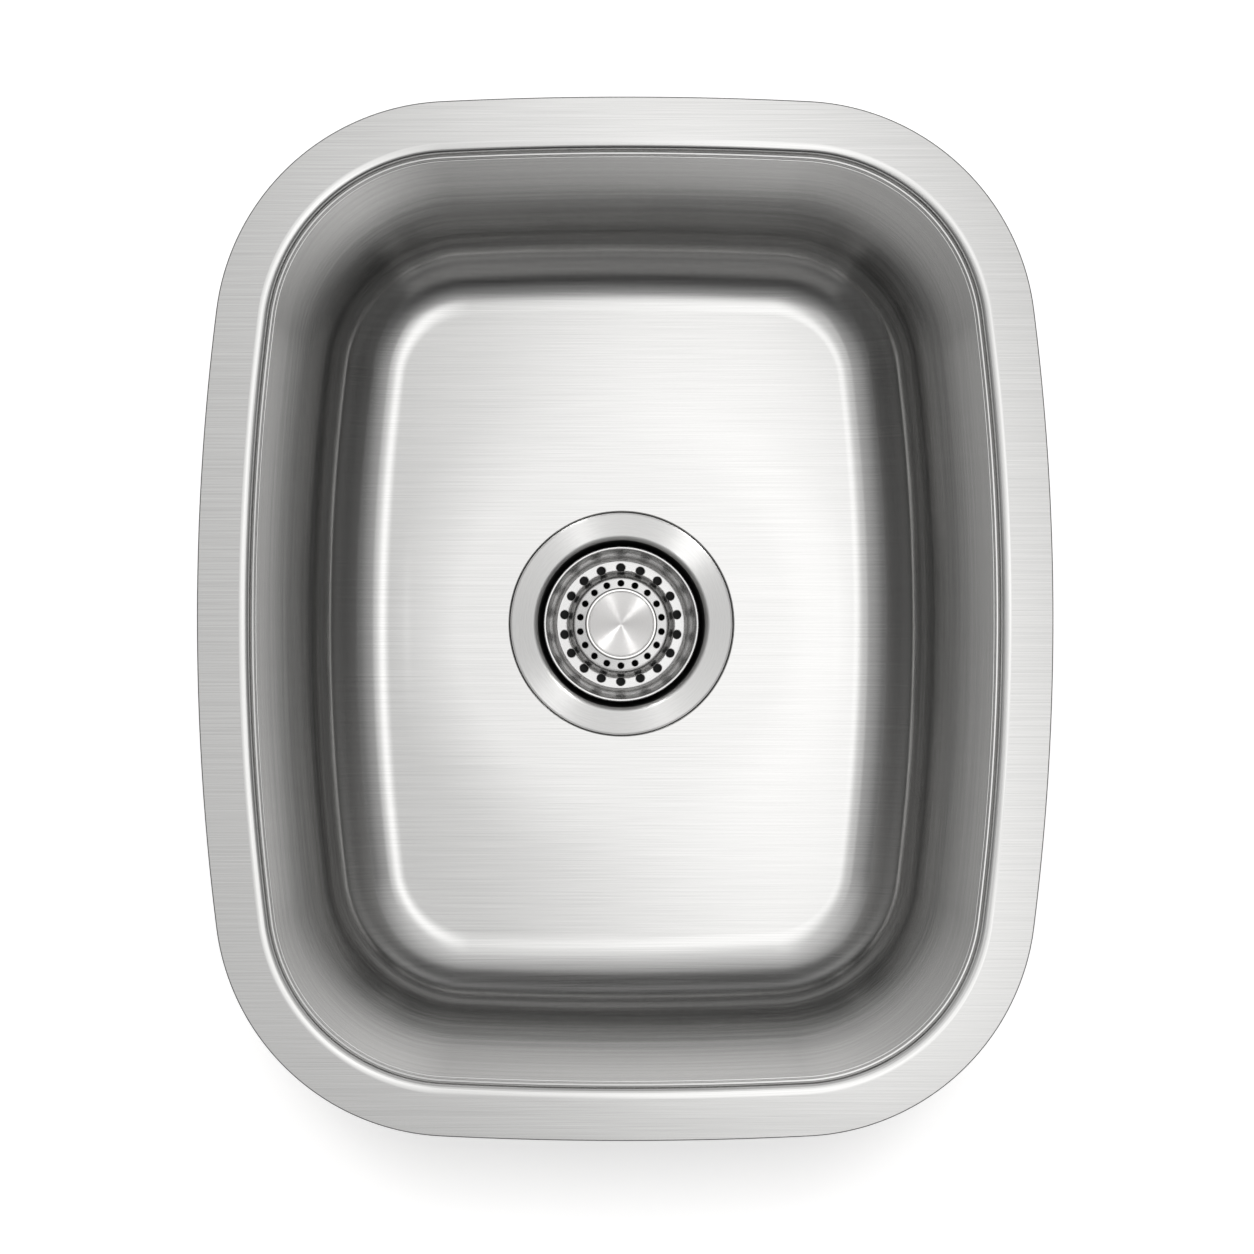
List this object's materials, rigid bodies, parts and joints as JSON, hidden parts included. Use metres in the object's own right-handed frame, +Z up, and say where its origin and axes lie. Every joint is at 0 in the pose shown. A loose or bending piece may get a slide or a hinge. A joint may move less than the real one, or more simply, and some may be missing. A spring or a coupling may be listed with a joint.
{
  "type": "undermount kitchen sink",
  "caption": "Pressed steel undermount sink bowl with a lift-out basket strainer, rubber stopper, clamped drain body and tailpiece.",
  "frame": {"origin": "centre of the flange's flat top face, the plane that is bonded to the underside of the worktop", "axes": "+X to the sink's right, +Y to its back along the longer side, +Z up out of the bowl"},
  "size_m": [0.374, 0.456, 0.3693],
  "materials": {
    "bowl_steel": "brushed along the bowl's width",
    "damping_pad": "matte",
    "strainer_steel": "satin, turned",
    "putty": "matte",
    "black_rubber": "matte",
    "ring_card": "matte fibre card",
    "nut_metal": "tumbled, dull plate",
    "crossbar_metal": "satin",
    "white_washer": "matte",
    "plated_brass": "polished plate",
    "basket_steel": "satin",
    "polished_steel": "polished",
    "cap_steel": "spun",
    "nylon": "semi-gloss"
  },
  "bodies": {
    "sink": {"sink_bowl": "bowl_steel", "sound_pad_right": "damping_pad", "sound_pad_left": "damping_pad", "sound_pad_front": "damping_pad", "sound_pad_rear": "damping_pad", "sound_pad_floor_front": "damping_pad", "sound_pad_floor_rear": "damping_pad", "strainer_body": "strainer_steel", "flange_seal": "putty", "sealing_gasket": "black_rubber", "friction_ring": "ring_card", "lock_nut": "nut_metal", "outlet_crossbar": "crossbar_metal", "tailpiece_washer": "white_washer", "tailpiece": "plated_brass", "tailpiece_nut": "plated_brass"},
    "stopper": {"stopper_seal": "black_rubber", "stopper_washer": "basket_steel"},
    "basket": {"basket_shell": "basket_steel", "knob_skirt": "polished_steel", "knob_cap": "cap_steel", "basket_sleeve": "polished_steel", "post_nut": "plated_brass", "basket_post": "polished_steel", "post_tip": "nylon"}
  },
  "joints": [
    {"name": "basket_lift", "type": "slide", "parent": "sink", "child": "stopper", "axis": [0, 0, 1], "range_m": [0, 0.075]},
    {"name": "basket_turn", "type": "hinge", "parent": "stopper", "child": "basket", "pos_m": [0, 0, -0.2198], "axis": [0, 0, 1], "continuous": true}
  ]
}
